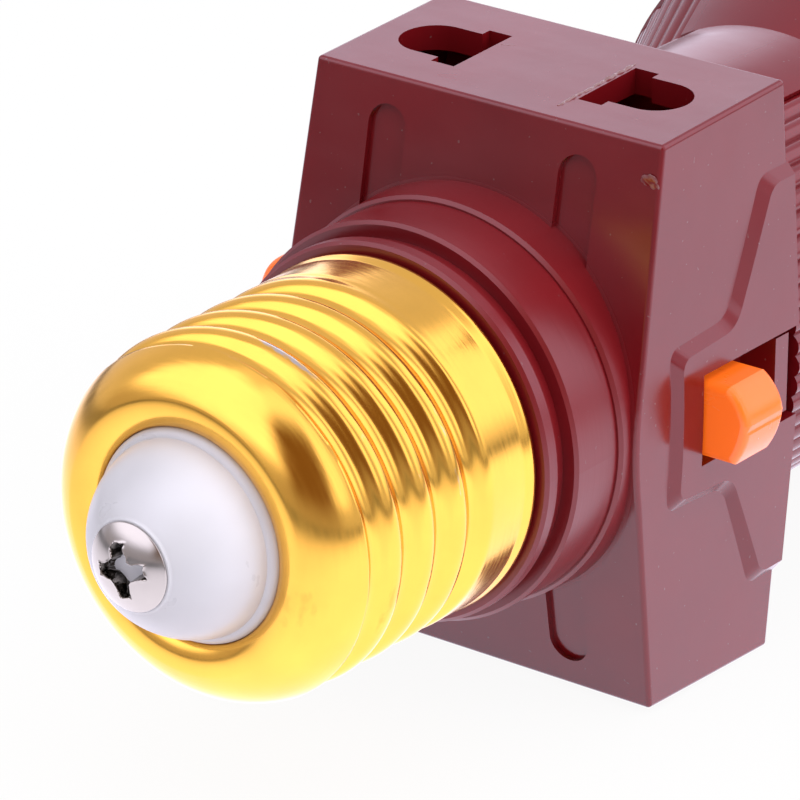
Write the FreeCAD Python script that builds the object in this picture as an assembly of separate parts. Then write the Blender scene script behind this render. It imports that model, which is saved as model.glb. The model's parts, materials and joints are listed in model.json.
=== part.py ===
"""Lamp holder adaptor: screw base, block with two outlets and a push-bar switch, ribbed lamp socket.

Millimetres. X runs along the push bar, Y runs along the lamp axis from the screw base to the lamp,
Z is up. The origin is on the lamp axis, at the rim of the brass screw shell.
"""
import FreeCAD, Part
import math
import os

V = FreeCAD.Vector
AXIS = V(0, 1, 0)

# Block
end_margin = 3.2
side_margin = 0.85
boss_length = 11.95
front_ridge = 3.72
back_ridge = 0.95
side_ridge = 0.90
end_draft = 0.58
ridge_blend = 3.0
side_blend = 6.0
edge_round = 0.35
side_wall = 1.8
end_wall = 1.5
front_wall = 1.8

# Boss under the brass shell
boss_foot_proud = 2.2
boss_band_proud = 1.6
boss_foot_taper = 0.2
boss_step = 4.5
boss_band_end = 2.75
boss_groove_proud = 0.4
boss_groove_width = 1.0
boss_ring_proud = 0.85
boss_ring_round = 0.25
rim_gap = 0.35
nose_wall = 1.8

# Front grooves and outlet holes
groove_x = 8.2
groove_width = 3.25
groove_end = 2.05
groove_depth = 0.5
blade_x = 6.35
blade_slot_width = 2.0
blade_slot_length = 7.0
outlet_forward = 0.2
outlet_shift = -0.3
pin_x = 9.55
pin_hole_r = 2.65

# Side panels and switch slot
panel_rise = 0.6
panel_front = 1.55
panel_knee = 8.0
panel_corner_inset = 1.7
panel_front_margin = 1.6
panel_knee_margin = 1.95
panel_end_margin = 7.1
panel_corner_r = 1.6
panel_slope = 0.75
slot_front = 3.8
slot_height = 6.9
bar_front_play = 0.2
bar_depth = 4.85
bridge_room = 1.9
bar_height = 5.77
bar_lift = 0.0
bar_out = 4.0
bar_travel = 3.7
bar_top_inset = 1.75
bar_low_inset = 1.15
bar_crest_z = 0.3
bar_round = 0.6
bar_notch = 0.16
bar_notch_half = 0.5
bar_pocket_depth = 0.6

# Brass screw shell
thread_pitch = 3.629
thread_crest_r = 13.1
thread_depth = 0.95
skirt_length = 4.3
thread_end = 19.8
dome_start = 17.5
dome_fullness = 0.64
crest_flat = 0.05
valley_place = 7.5
valley_angle = 125.5
thread_rows = 8
thread_columns = 24
thread_fade = 0.45
sewing_gap = 0.02
sheet = 0.4
rim_flare = 0.15
rim_taper = 0.7
fold_inset = 3.27
fold_place = 21.85
inner_ring_place = 21.35
shell_fit = 0.15

# Insulator and centre contact
cone_r = 7.7
cone_hole_fit = 0.1
cone_shoulder = 0.9
cone_top_r = 3.35
cone_length = 6.05
core_end = 18.65
flange_inset = 0.23
screw_r = 1.7
screw_head_r = 3.18
screw_head_rim = 0.15
screw_head_rise = 1.25
screw_end = 14.4
cross_width = 0.85
cross_length = 3.6
cross_depth = 0.9
cross_turn = 20.0
washer_r = 3.0
washer_thickness = 0.5
nut_side = 5.4
nut_thickness = 2.3

# Rear cover with the lamp tube
cover_thickness = 2.2
cover_fit = 0.15
tab_sink = 0.5
tab_fit = 0.45
tab_inset = 0.6
tube_wall = 1.8
tube_play = 0.65
tube_end = 35.8
skirt_flare = 4.5
skirt_start = 45.7
skirt_end = 50.5
skirt_wall = 1.7
tube_rib_pitch = 5.8
tube_rib_limit = 66.2
skirt_rib_pitch = 6.0
skirt_rib_limit = 60.0
rib_depth = 0.38
plain_step = 0.12
floor_rise = 0.15
tube_fit = 0.1
stop_inset = 0.15
stop_width = 0.88
stop_half = 2.6
support_root = 0.5
web_support_half = 6.0
web_support_short = 2.5
web_support_inset = 0.6
web_support_width = 2.0

# Lamp socket
lamp_thread_play = 0.15
lamp_shell_wall = 0.5
lamp_shell_length = 18.2
socket_disc_proud = 0.15
socket_disc_thickness = 1.75
socket_flange = 3.65
tongue_width = 5.0
tongue_rise = 4.6
tongue_rivet_inset = 2.2
tongue_foot_inner = 2.2
tongue_foot_outer = 1.7
tongue_top_half = 1.2
tongue_tip = 3.0
tongue_drop = 1.4
tongue_play = 0.3
shell_rivet_inset = 1.95
shell_rivet_angles = (144.0, 270.0)
rivet_r = 1.1
rivet_head_r = 1.6
rivet_head = 0.6

# Strips and switch
strip = 0.4
clip_sheet = 0.5
clip_height = 6.6
clip_margin = 5.05
clip_inner_play = 1.25
clip_outer_play = 0.15
clip_base_x = 8.7
clip_base_half = 1.2
clip_base_length = 3.5
clip_length = 6.4
clip_pinch = 0.3
clip_middle_play = 0.85
clip_leaf_inset = 0.4
web_overlap = 1.0
web_inner_margin = 1.1
web_outer_margin = 0.76
strip_gap = 1.05
line_inner_x = 1.4
line_outer_x = 5.0
eye_margin = 0.2
line_clearance = 1.12
blade_half = 2.0
blade_overlap = 0.9
blade_margin = 2.1
link_half = 2.0
link_margin = 0.8
link_place = 10.2
link_press = 0.12
link_foot_rise = 2.6
link_foot_inset = 2.0
link_slot_play = 0.2
link_slot_room = 0.3
bridge_contact_x = 1.75
bridge_half = 2.2
bridge_foot_half = 1.2
bridge_lip = 0.5
bridge_lip_drop = 0.35
pocket_margin = 1.2
pocket_play = 0.1
bar_click_half = 1.0
bar_click_depth = 0.5
contact_play = 0.3
spring_half = 2.0
spring_share = 0.776
spring_sheet = 0.35
spring_room = 2.4
spring_end = 1.4
spring_crown_half = 1.0
spring_crown_drop = 0.5
spring_seat_length = 0.6
rib_share = 0.765
rib_thickness = 1.6
guide_thickness = 1.4
guide_margin = 0.8

# Cover screws
cover_screw_margin = 0.08
cover_screw_r = 1.05
cover_screw_hole_r = 1.2
cover_screw_head_r = 1.65
cover_screw_head = 1.4
cover_screw_length = 9.0
cover_screw_cross = 0.5
post_r = 2.3

front_y = boss_length
slot_y = front_y + slot_front
bar_front_y = slot_y + bar_front_play
bar_back_y = bar_front_y + bar_depth
blade_y = bar_back_y + bridge_room
web_y = blade_y + strip
strip_y = web_y + clip_sheet
cover_y = strip_y + strip_gap
back_y = cover_y + cover_thickness
block_depth = back_y - front_y
panel_corner = block_depth - panel_corner_inset
thread_root_r = thread_crest_r - thread_depth
rim_r = thread_crest_r + rim_flare
boss_foot_r = thread_crest_r + boss_foot_proud
boss_band_r = thread_crest_r + boss_band_proud
boss_groove_r = thread_crest_r + boss_groove_proud
boss_ring_r = thread_crest_r + boss_ring_proud
fold_r = thread_crest_r - fold_inset
flange_r = fold_r - flange_inset
core_r = thread_root_r - sheet - shell_fit
core_chamfer = core_end - dome_start
nose_bore_r = core_r - nose_wall
lamp_thread_root_r = thread_crest_r + lamp_thread_play
lamp_thread_crest_r = lamp_thread_root_r - thread_depth - lamp_thread_play / 3
lamp_shell_r = lamp_thread_root_r + lamp_shell_wall
socket_disc_r = lamp_shell_r + socket_disc_proud
socket_opening_r = lamp_thread_root_r - socket_flange
tongue_rivet_x = socket_opening_r - tongue_rivet_inset
shell_rivet_r = lamp_thread_root_r - shell_rivet_inset
tube_bore_r = lamp_shell_r + tube_play
tube_r = tube_bore_r + tube_wall
skirt_r = tube_r + skirt_flare
cover_screw_z = tube_r + plain_step + cover_screw_head_r + cover_screw_margin
half_width = pin_x + pin_hole_r + side_margin + side_wall
half_height = cover_screw_z + end_margin
groove_length = 2 * (half_height - groove_end)
panel_front_half = slot_height / 2 + panel_front_margin
panel_knee_half = slot_height / 2 + panel_knee_margin
panel_half = half_height - panel_end_margin
bar_right = half_width + side_ridge + bar_out
bar_left = bar_right + bar_travel
clip_high = half_height - clip_margin
clip_low = clip_high - clip_height
clip_inner_x = blade_x - clip_inner_play
clip_outer_x = pin_x + pin_hole_r + clip_outer_play
web_inner_x = tongue_rivet_x - rivet_r - web_inner_margin
web_outer_x = -shell_rivet_r * math.cos(math.radians(shell_rivet_angles[0])) + rivet_r + web_outer_margin
line_height = math.sqrt((nose_bore_r - line_clearance) ** 2 - line_outer_x ** 2) - strip
spring_span = nose_bore_r * spring_share
rib_half = nose_bore_r * rib_share
link_height = nose_bore_r - link_margin
bar_low_z = bar_lift - bar_height / 2
bar_high_z = bar_lift + bar_height / 2
pin_y = front_y + block_depth / 2 - outlet_forward
cavity_x = half_width - side_wall
cavity_z = half_height - end_wall
floor_y = back_y + back_ridge + floor_rise
disc_y = floor_y + socket_disc_thickness
panel_x = half_width + side_ridge + panel_rise
reach = 8 * half_width


def box(x0, x1, y0, y1, z0, z1):
    """Box between two opposite corners."""
    return Part.makeBox(x1 - x0, y1 - y0, z1 - z0, V(x0, y0, z0))


def rod(radius, y0, y1, x=0.0, z=0.0):
    """Cylinder along the lamp axis direction."""
    return Part.makeCylinder(radius, y1 - y0, V(x, y0, z), AXIS)


def revolve(points):
    """Solid turned about the lamp axis from (radius, y) corners."""
    wire = Part.makePolygon([V(r, y, 0) for r, y in points + points[:1]])
    return Part.Face(wire).revolve(V(0, 0, 0), AXIS, 360)


def rounded_wire(corners, radii):
    """Closed wire through flat corners, each with its own tangent arc."""
    edges = []
    last = None
    first = None
    count = len(corners)
    for i, corner in enumerate(corners):
        to_before = (corners[i - 1] - corner).normalize()
        to_after = (corners[(i + 1) % count] - corner).normalize()
        if radii[i] > 0:
            half = to_before.getAngle(to_after) / 2
            run = radii[i] / math.tan(half)
            start = corner + to_before * run
            end = corner + to_after * run
            middle_way = (to_before + to_after).normalize()
            middle = corner + middle_way * (radii[i] / math.sin(half) - radii[i])
            arc = Part.Arc(start, middle, end).toShape()
        else:
            start = corner
            end = corner
            arc = None
        if last is not None and (start - last).Length > 1e-6:
            edges.append(Part.makeLine(last, start))
        if arc is not None:
            edges.append(arc)
        if first is None:
            first = start
        last = end
    if (first - last).Length > 1e-6:
        edges.append(Part.makeLine(last, first))
    return Part.Wire(edges)


def prism(corners, radii, along):
    """Solid swept from a rounded outline along a straight way."""
    return Part.Face(rounded_wire(corners, radii)).extrude(along)


def edge_turn(shape, edge):
    """Angle between the two faces that meet at an edge, in degrees."""
    faces = shape.ancestorsOfType(edge, Part.Face)
    if len(faces) != 2:
        return 0.0
    middle = edge.valueAt((edge.FirstParameter + edge.LastParameter) / 2)
    normals = [face.normalAt(*face.Surface.parameter(middle)) for face in faces]
    return math.degrees(normals[0].getAngle(normals[1]))


def ridge_front(shift):
    """Block outline seen from the side, with the front and back ridges, moved back by a shift."""
    top = half_height + shift
    corners = [
        V(0, front_y + shift, top),
        V(0, front_y - front_ridge + shift, 0),
        V(0, front_y + shift, -top),
        V(0, back_y, -half_height - end_draft),
        V(0, back_y + back_ridge, 0),
        V(0, back_y, half_height + end_draft),
    ]
    blend = ridge_blend / math.tan(math.atan(front_ridge / half_height))
    return [point - V(reach / 2, 0, 0) for point in corners], [0, blend, 0, 0, 0, 0]


def side_outline(rise):
    """Block outline seen from the front, wider by a rise on both sides."""
    x = half_width + rise
    top = half_height + 2 * end_draft
    corners = [
        V(x, 0, top),
        V(x + side_ridge, 0, 0),
        V(x, 0, -top),
        V(-x, 0, -top),
        V(-x - side_ridge, 0, 0),
        V(-x, 0, top),
    ]
    blend = side_blend / math.tan(math.atan(side_ridge / half_height))
    return corners, [0, blend, 0, 0, blend, 0]


def block():
    """Outer block with its front, back and side ridges and rounded edges."""
    corners, radii = ridge_front(0)
    side_view = prism(corners, radii, V(reach, 0, 0))
    corners, radii = side_outline(0)
    front_view = prism(corners, radii, V(0, reach, 0)).translate(V(0, -reach / 4, 0))
    body = side_view.common(front_view).removeSplitter()
    sharp = [edge for edge in body.Edges if edge_turn(body, edge) > 30]
    return body.makeFillet(edge_round, sharp)


def panel(side):
    """Raised side panel, with sloped walls, on the right (1) or left (-1) side."""
    def outline(x, out):
        corner_points = [
            (panel_front - out, panel_front_half + out),
            (panel_knee - out / 2, panel_knee_half + out),
            (panel_corner - out, panel_half + out),
            (block_depth + 2 * back_ridge, panel_half + out),
        ]
        upper = [V(side * x, front_y + y, z) for y, z in corner_points]
        lower = [V(side * x, front_y + y, -z) for y, z in corner_points[::-1]]
        radii = [1.0, 2.5, panel_corner_r, 0, 0, panel_corner_r, 2.5, 1.0]
        return rounded_wire(upper + lower, radii)

    foot = half_width - side_wall / 2
    top = panel_x + side_wall / 2
    slope = panel_slope / panel_rise
    base_out = (panel_x - foot) * slope
    top_out = (panel_x - top) * slope
    body = Part.makeLoft([outline(foot, base_out), outline(top, top_out)], True, True)
    corners, radii = side_outline(panel_rise)
    skin = prism(corners, radii, V(0, reach, 0)).translate(V(0, -reach / 4, 0))
    corners, radii = ridge_front(0)
    return body.common(skin).common(prism(corners, radii, V(reach, 0, 0)))


def boss():
    """Stepped round boss in front of the block, and the core that fills the brass shell."""
    step_y = front_y - boss_step
    groove_y = boss_band_end - boss_groove_width
    soft = boss_ring_round
    core_skirt_r = thread_crest_r - sheet - shell_fit
    profile = [
        (nose_bore_r, front_y + front_wall),
        (boss_foot_r, front_y + front_wall),
        (boss_foot_r, front_y),
        (boss_foot_r - boss_foot_taper, step_y + soft),
        (boss_foot_r - boss_foot_taper - soft, step_y),
        (boss_band_r, step_y),
        (boss_band_r, boss_band_end + soft),
        (boss_band_r - soft, boss_band_end),
        (boss_groove_r, boss_band_end),
        (boss_groove_r, groove_y),
        (boss_ring_r - soft, groove_y),
        (boss_ring_r, groove_y - soft),
        (boss_ring_r, rim_gap + soft),
        (boss_ring_r - soft, rim_gap),
        (core_skirt_r, rim_gap),
        (core_skirt_r, -skirt_length + sheet + shell_fit),
        (core_r, -skirt_length + shell_fit),
        (core_r, -core_end + core_chamfer),
        (core_r - core_chamfer, -core_end),
        (nose_bore_r, -core_end),
    ]
    return revolve(profile)


def cavity():
    """Inside of the block, open at the back."""
    end = back_y + back_ridge + 1
    corners = [
        V(-cavity_x, front_y + front_wall, cavity_z),
        V(-cavity_x, front_y - front_ridge + front_wall, 0),
        V(-cavity_x, front_y + front_wall, -cavity_z),
        V(-cavity_x, end, -cavity_z),
        V(-cavity_x, end, cavity_z),
    ]
    return prism(corners, [0.6, 0, 0.6, 0, 0], V(2 * cavity_x, 0, 0))


def outlet_hole(side, z0, z1):
    """Hole for one pole: a flat blade slot with a round-pin bay on its outer side."""
    slot_half = blade_slot_width / 2
    blade = box(blade_x - slot_half, blade_x + slot_half, pin_y - blade_slot_length / 2,
                pin_y + blade_slot_length / 2, z0, z1)
    neck = box(blade_x, pin_x, pin_y - pin_hole_r, pin_y + pin_hole_r, z0, z1)
    round_end = Part.makeCylinder(pin_hole_r, z1 - z0, V(pin_x, pin_y, z0))
    hole = blade.fuse([neck, round_end]).removeSplitter()
    if side < 0:
        hole = hole.mirror(V(0, 0, 0), V(1, 0, 0))
    return hole.translate(V(outlet_shift, 0, 0))


def front_groove(side):
    """Shallow rounded groove that follows the sloped front."""
    half = groove_width / 2
    x = side * groove_x
    end = groove_length / 2
    corners = [V(x - half, 0, -end), V(x + half, 0, -end), V(x + half, 0, end), V(x - half, 0, end)]
    soft = half * 0.98
    bar = prism(corners, [soft] * 4, V(0, back_y - cover_thickness, 0))
    outline, radii = ridge_front(groove_depth)
    return bar.cut(prism(outline, radii, V(reach, 0, 0)))


def cover_screw_places():
    """Centres of the two cover screws, above and below the lamp tube."""
    return [V(0, 0, cover_screw_z), V(0, 0, -cover_screw_z)]


def main_housing():
    """Front moulding: block, side panels, boss and core in one piece."""
    body = block().fuse([panel(1), panel(-1)])
    for side in (1, -1):
        body = body.cut(front_groove(side))
    body = body.cut(cavity())
    corners, radii = ridge_front(0)
    behind_front = prism(corners, radii, V(reach, 0, 0))
    round_boss = boss()
    body = body.fuse(round_boss.cut(cavity()))
    body = body.cut(rod(nose_bore_r, -core_end - 1, front_y + front_wall + 1))
    posts = []
    for place in cover_screw_places():
        posts.append(rod(post_r, front_y, cover_y, place.x, place.z))
    for x in (-spring_span - rib_thickness, spring_span):
        posts.append(box(x, x + rib_thickness, front_y - front_ridge + front_wall / 2, spring_seat_y(),
                         -rib_half, rib_half))
    for x in (-cavity_x + guide_margin, cavity_x - guide_margin - guide_thickness):
        posts.append(box(x, x + guide_thickness, front_y - front_ridge + front_wall / 2, slot_y,
                         -rib_half, rib_half))
    posts = [post.common(behind_front) for post in posts]
    body = body.fuse(posts).removeSplitter()
    cuts = [box(-reach / 2, reach / 2, slot_y, reach, -slot_height / 2, slot_height / 2)]
    for side in (1, -1):
        cuts.append(outlet_hole(side, cavity_z - 1, half_height + 2))
        cuts.append(outlet_hole(side, -half_height - 2, -cavity_z + 1))
    for place in cover_screw_places():
        pilot = cover_screw_r - 0.15
        cuts.append(rod(pilot, cover_y - cover_screw_length, cover_y + 1, place.x, place.z))
    half = link_half + link_slot_play
    cuts.append(box(-half, half, -link_place - link_slot_room, -link_place + strip + link_slot_room,
                    -thread_crest_r, -nose_bore_r + nose_wall / 2))
    return body.cut(cuts).removeSplitter()


def spring_seat_y():
    """Height of the two ribs that carry the detent spring."""
    return bar_front_y - spring_room


def ribbed_outline(radius, pitch, limit, y):
    """Round outline with rows of convex ribs on the left and right, plain above and below."""
    count = int(round(2 * limit / pitch))
    root = radius - rib_depth * radius / tube_r
    plain = radius + plain_step

    def at(r, degrees):
        angle = math.radians(degrees)
        return V(r * math.cos(angle), y, r * math.sin(angle))

    edges = []
    for centre in (0, 180):
        start = centre - limit
        for i in range(count):
            low = start + i * 2 * limit / count
            high = start + (i + 1) * 2 * limit / count
            edges.append(Part.Arc(at(root, low), at(radius, (low + high) / 2), at(root, high)).toShape())
        end = centre + limit
        edges.append(Part.makeLine(at(root, end), at(plain, end)))
        far = centre + 180 - limit
        edges.append(Part.Arc(at(plain, end), at(plain, centre + 90), at(plain, far)).toShape())
        edges.append(Part.makeLine(at(plain, far), at(root, far)))
    return Part.Wire(edges)


def lamp_tube():
    """Ribbed tube and flared skirt around the lamp socket."""
    y_tube = front_y + tube_end
    y_skirt = front_y + skirt_start
    y_end = front_y + skirt_end
    y_root = back_y - cover_fit
    tube = Part.Face(ribbed_outline(tube_r, tube_rib_pitch, tube_rib_limit, y_root))
    tube = tube.extrude(V(0, y_tube - y_root, 0))
    flare_low = ribbed_outline(tube_r, skirt_rib_pitch, skirt_rib_limit, y_tube)
    flare_high = ribbed_outline(skirt_r, skirt_rib_pitch, skirt_rib_limit, y_skirt)
    flare = Part.makeLoft([flare_low, flare_high], True, True)
    lip = rod(skirt_r + plain_step, y_skirt, y_end)
    outer = tube.fuse([flare, lip])
    bore = revolve([
        (0, floor_y),
        (tube_bore_r, floor_y),
        (tube_bore_r, y_tube + 0.6),
        (skirt_r - skirt_wall, y_skirt),
        (skirt_r - skirt_wall, y_end + 1),
        (0, y_end + 1),
    ])
    corners, radii = ridge_front(0)
    housing = prism(corners, radii, V(reach, 0, 0)).translate(V(0, tube_fit, 0))
    x = cavity_x - cover_fit
    z = cavity_z - cover_fit
    opening = box(-x, x, cover_y, floor_y, -z, z)
    return outer.cut([bore, housing.cut(opening)])


def rear_cover():
    """Rear moulding: closing plate, slot tabs, ribbed tube, flared skirt and strip supports."""
    x = cavity_x - cover_fit
    z = cavity_z - cover_fit
    corners = [
        V(-x, cover_y, z),
        V(-x, cover_y, -z),
        V(-x, back_y, -z),
        V(-x, back_y + back_ridge, 0),
        V(-x, back_y, z),
    ]
    plate = prism(corners, [0] * 5, V(2 * x, 0, 0))
    tab_x = panel_x - tab_sink
    tab_z = slot_height / 2 - tab_fit
    tabs = box(-tab_x, tab_x, cover_y + tab_inset, back_y, -tab_z, tab_z)
    body = plate.fuse([tabs, lamp_tube()])
    root_y = cover_y + support_root
    supports = [
        box(-line_outer_x, -line_inner_x, blade_y + strip, root_y, -blade_half, blade_half),
        box(-web_outer_x + web_support_inset, -web_inner_x - 2 * web_support_inset, strip_y, root_y,
            -web_support_short, web_support_short),
        box(web_outer_x - web_support_width, web_outer_x, strip_y, root_y,
            -web_support_half, web_support_half),
    ]
    for x_stop in (-cavity_x + stop_inset, cavity_x - stop_inset - stop_width):
        supports.append(box(x_stop, x_stop + stop_width, bar_back_y + contact_play, root_y,
                            -stop_half, stop_half))
    for place in shell_rivet_places():
        supports.append(rod(rivet_head_r + 0.5, strip_y, root_y, place.x, place.z))
    for side in (1, -1):
        for low in (clip_low, -clip_high):
            x = side * clip_base_x
            z = low + (clip_height - clip_base_length) / 2
            supports.append(box(x - clip_base_half, x + clip_base_half, strip_y, root_y,
                                z, z + clip_base_length))
    body = body.fuse(supports).removeSplitter()
    holes = []
    for place in shell_rivet_places():
        holes.append(rod(rivet_r, strip_y - 1, disc_y, place.x, place.z))
    holes.append(rod(rivet_r, strip_y - 1, disc_y, tongue_rivet_x, 0))
    for place in cover_screw_places():
        holes.append(rod(cover_screw_hole_r, cover_y - 1, back_y + 1, place.x, place.z))
        holes.append(rod(cover_screw_head_r + 0.05, back_y, back_y + 2, place.x, place.z))
    return body.cut(holes).removeSplitter()


def shell_rivet_places():
    """Centres of the rivets through the flange of the lamp shell."""
    places = []
    for degrees in shell_rivet_angles:
        angle = math.radians(degrees)
        places.append(V(shell_rivet_r * math.cos(angle), 0, shell_rivet_r * math.sin(angle)))
    return places


def threaded_body(rear, front, zone_rear, zone_front, crest_r, root_r, valley_y):
    """Round body along the lamp axis with a rolled right-hand thread that fades out at both ends."""
    rows = int(math.ceil((rear - front) / thread_pitch * thread_rows))
    fade = thread_pitch * thread_fade

    def smooth(share):
        part = min(1.0, max(0.0, share))
        return (3 - 2 * part) * part ** 2

    def radius(y, angle):
        turn = 2 * math.pi * (y - valley_y) / thread_pitch + angle - math.radians(valley_angle)
        depth = (crest_r - root_r) * (0.5 + 0.5 * math.cos(turn))
        return crest_r - depth * smooth((zone_rear - y) / fade) * smooth((y - zone_front) / fade)

    grid = []
    for i in range(rows + 1):
        y = rear + (front - rear) * i / rows
        ring = []
        for j in range(thread_columns + 1):
            angle = 2 * math.pi * j / thread_columns
            r = radius(y, angle)
            ring.append(V(r * math.cos(angle), y, r * math.sin(angle)))
        grid.append(ring)
    surface = Part.BSplineSurface()
    surface.interpolate(grid)
    side = surface.toShape()
    faces = [side]
    for y in (rear, front):
        ends = [edge for edge in side.Edges
                if abs(edge.BoundBox.YMin - y) + abs(edge.BoundBox.YMax - y) < 0.01]
        faces.append(Part.Face(Part.Wire(ends)))
    skin = Part.makeCompound(faces)
    skin.sewShape(sewing_gap)
    return Part.makeSolid(skin.Shells[0])


def turned(points):
    """Solid turned about the lamp axis from lines and arcs: (radius, y) or (radius, y, arc middle)."""
    edges = []
    for before, after in zip(points, points[1:] + points[:1]):
        start = V(before[0], before[1], 0)
        end = V(after[0], after[1], 0)
        if len(after) > 2:
            edges.append(Part.Arc(start, V(after[2][0], after[2][1], 0), end).toShape())
        else:
            edges.append(Part.makeLine(start, end))
    return Part.Face(Part.Wire(edges)).revolve(V(0, 0, 0), AXIS, 360)


def screw_shell():
    """Brass screw shell: flared rim, plain skirt, rolled thread, domed nose folded to a ring."""
    hole_r = cone_r + cone_hole_fit
    dome_middle = (fold_r + (thread_crest_r - fold_r) * dome_fullness,
                   -fold_place + (fold_place - dome_start) * (1 - dome_fullness))
    outside = turned([
        (0, 0), (rim_r, 0), (rim_r, -sheet), (thread_crest_r, -sheet - rim_taper),
        (thread_crest_r, -dome_start), (fold_r, -fold_place, dome_middle),
        (hole_r, -inner_ring_place), (0, -inner_ring_place),
    ])
    crest = thread_crest_r + crest_flat
    threaded = threaded_body(1.0, -fold_place - 1, -skirt_length, -thread_end, crest, thread_root_r,
                             -valley_place)
    upper = rod(rim_r + 1, -skirt_length / 2, 1)
    body = outside.common(threaded.cut(upper).fuse(rod(rim_r + 1, -skirt_length / 2, 0)))
    inner_skirt_r = thread_crest_r - sheet
    inner_r = thread_root_r - sheet
    inner_fold = inner_ring_place - sheet
    hollow = revolve([
        (0, 1), (inner_skirt_r, 1), (inner_skirt_r, -skirt_length + sheet), (inner_r, -skirt_length),
        (inner_r, -dome_start), (fold_r + 0.1, -inner_fold), (0, -inner_fold),
    ])
    return body.cut([hollow, rod(hole_r, -fold_place - 2, 0)])


def base_insulator():
    """White cone with a flange held behind the fold of the brass shell."""
    flange_front = -inner_ring_place + sheet
    foot_y = -inner_ring_place
    shoulder_y = foot_y - cone_shoulder
    tip_y = foot_y - cone_length
    start = [V(screw_r, -core_end, 0), V(flange_r, -core_end, 0), V(flange_r, flange_front, 0),
             V(cone_r, flange_front, 0), V(cone_r, shoulder_y + 0.5, 0)]
    lines = [Part.makeLine(a, b) for a, b in zip(start[:-1], start[1:])]
    turn = V(cone_r - 0.45, shoulder_y - 0.15, 0)
    round_edge = Part.Arc(start[-1], V(cone_r - 0.12, shoulder_y, 0), turn).toShape()
    tip = V(cone_top_r, tip_y, 0)
    middle = (turn + tip) * 0.5 + V(0.28, -0.28, 0)
    crown = Part.Arc(turn, middle, tip).toShape()
    close = [tip, V(screw_r, tip_y, 0), start[0]]
    lines += [round_edge, crown] + [Part.makeLine(a, b) for a, b in zip(close[:-1], close[1:])]
    return Part.Face(Part.Wire(lines)).revolve(V(0, 0, 0), AXIS, 360)


def contact_screw():
    """Domed cross-head screw, the centre contact of the screw base."""
    seat = -inner_ring_place - cone_length
    rim = seat - screw_head_rim
    apex = seat - screw_head_rise
    profile = [V(0, -screw_end, 0), V(screw_r, -screw_end, 0), V(screw_r, seat, 0),
               V(screw_head_r, seat, 0), V(screw_head_r, rim, 0)]
    lines = [Part.makeLine(a, b) for a, b in zip(profile[:-1], profile[1:])]
    shoulder = V(screw_head_r * 0.66, rim + (apex - rim) * 0.6, 0)
    dome = Part.Arc(profile[-1], shoulder, V(0, apex, 0)).toShape()
    lines += [dome, Part.makeLine(V(0, apex, 0), profile[0])]
    screw = Part.Face(Part.Wire(lines)).revolve(V(0, 0, 0), AXIS, 360)
    half = cross_width / 2
    arm = cross_length / 2
    cross = box(-arm, arm, apex - 1, apex + cross_depth, -half, half)
    cross = cross.fuse(box(-half, half, apex - 1, apex + cross_depth, -arm, arm))
    cross.rotate(V(0, 0, 0), AXIS, cross_turn)
    return screw.cut(cross)


def contact_washer():
    """Washer between the line strip and the nut."""
    y = -core_end + strip
    return rod(washer_r, y, y + washer_thickness).cut(rod(screw_r, y, y + washer_thickness))


def contact_nut():
    """Square nut on the centre contact screw."""
    y = -core_end + strip + washer_thickness
    half = nut_side / 2
    nut = box(-half, half, y, y + nut_thickness, -half, half)
    nut = nut.common(rod(nut_side * 0.66, y, y + nut_thickness))
    return nut.cut(rod(screw_r, y, y + nut_thickness))


def line_strip():
    """Strip from the centre contact along the nose to the first switch contact."""
    y0 = -core_end
    eye = rod(washer_r + eye_margin, y0, y0 + strip)
    riser = box(-line_outer_x, 0, y0, y0 + strip, 0, line_height + strip)
    riser = riser.common(rod(nose_bore_r - eye_margin, y0, y0 + strip))
    run = box(-line_outer_x, -line_inner_x, y0, blade_y + strip, line_height, line_height + strip)
    drop = box(-line_outer_x, -line_inner_x, blade_y, blade_y + strip, -blade_half, line_height + strip)
    body = eye.fuse([riser, run, drop]).removeSplitter()
    return body.cut(rod(screw_r, y0 - 1, y0 + 1))


def switch_blade():
    """Second switch contact, riveted to the live strip."""
    blade = box(bridge_contact_x - blade_overlap, tongue_rivet_x + blade_margin, blade_y, blade_y + strip,
                -blade_half, blade_half)
    return blade.cut(rod(rivet_r, blade_y - 1, blade_y + 1, tongue_rivet_x, 0))


def outlet_strip():
    """Strip with a three-leaf clip at each end, on the right side."""
    base = []
    for low in (clip_low, -clip_high):
        high = low + clip_high - clip_low
        base.append(box(clip_inner_x, clip_outer_x, web_y, web_y + clip_sheet, low, high))
        leaves = (
            (clip_inner_x, clip_pinch),
            (blade_x + clip_middle_play, 0.0),
            (clip_outer_x - clip_sheet, -clip_pinch),
        )
        for x, pinch in leaves:
            tip = V(x + pinch, web_y - clip_length * 0.8, 0)
            line = [V(x, web_y + clip_sheet, 0), V(x, web_y - clip_length * 0.3, 0), tip,
                    V(x, web_y - clip_length, 0)]
            leaf = [point + V(0, 0, low + clip_leaf_inset) for point in line]
            away = [point + V(clip_sheet, 0, 0) for point in leaf[::-1]]
            face = Part.Face(Part.makePolygon(leaf + away + leaf[:1]))
            base.append(face.extrude(V(0, 0, high - low - 2 * clip_leaf_inset)))
    web_half = clip_low + web_overlap
    web = box(web_inner_x, web_outer_x, web_y, web_y + clip_sheet, -web_half, web_half)
    return web.fuse(base).removeSplitter()


def live_strip():
    """Live strip, held by the rivet of the lamp contact."""
    return outlet_strip().cut(rod(rivet_r, web_y - 1, web_y + 1, tongue_rivet_x, 0))


def neutral_strip():
    """Neutral strip, held by a rivet of the lamp shell."""
    place = shell_rivet_places()[0]
    body = outlet_strip().mirror(V(0, 0, 0), V(1, 0, 0))
    return body.cut(rod(rivet_r, web_y - 1, web_y + 1, place.x, place.z))


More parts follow.
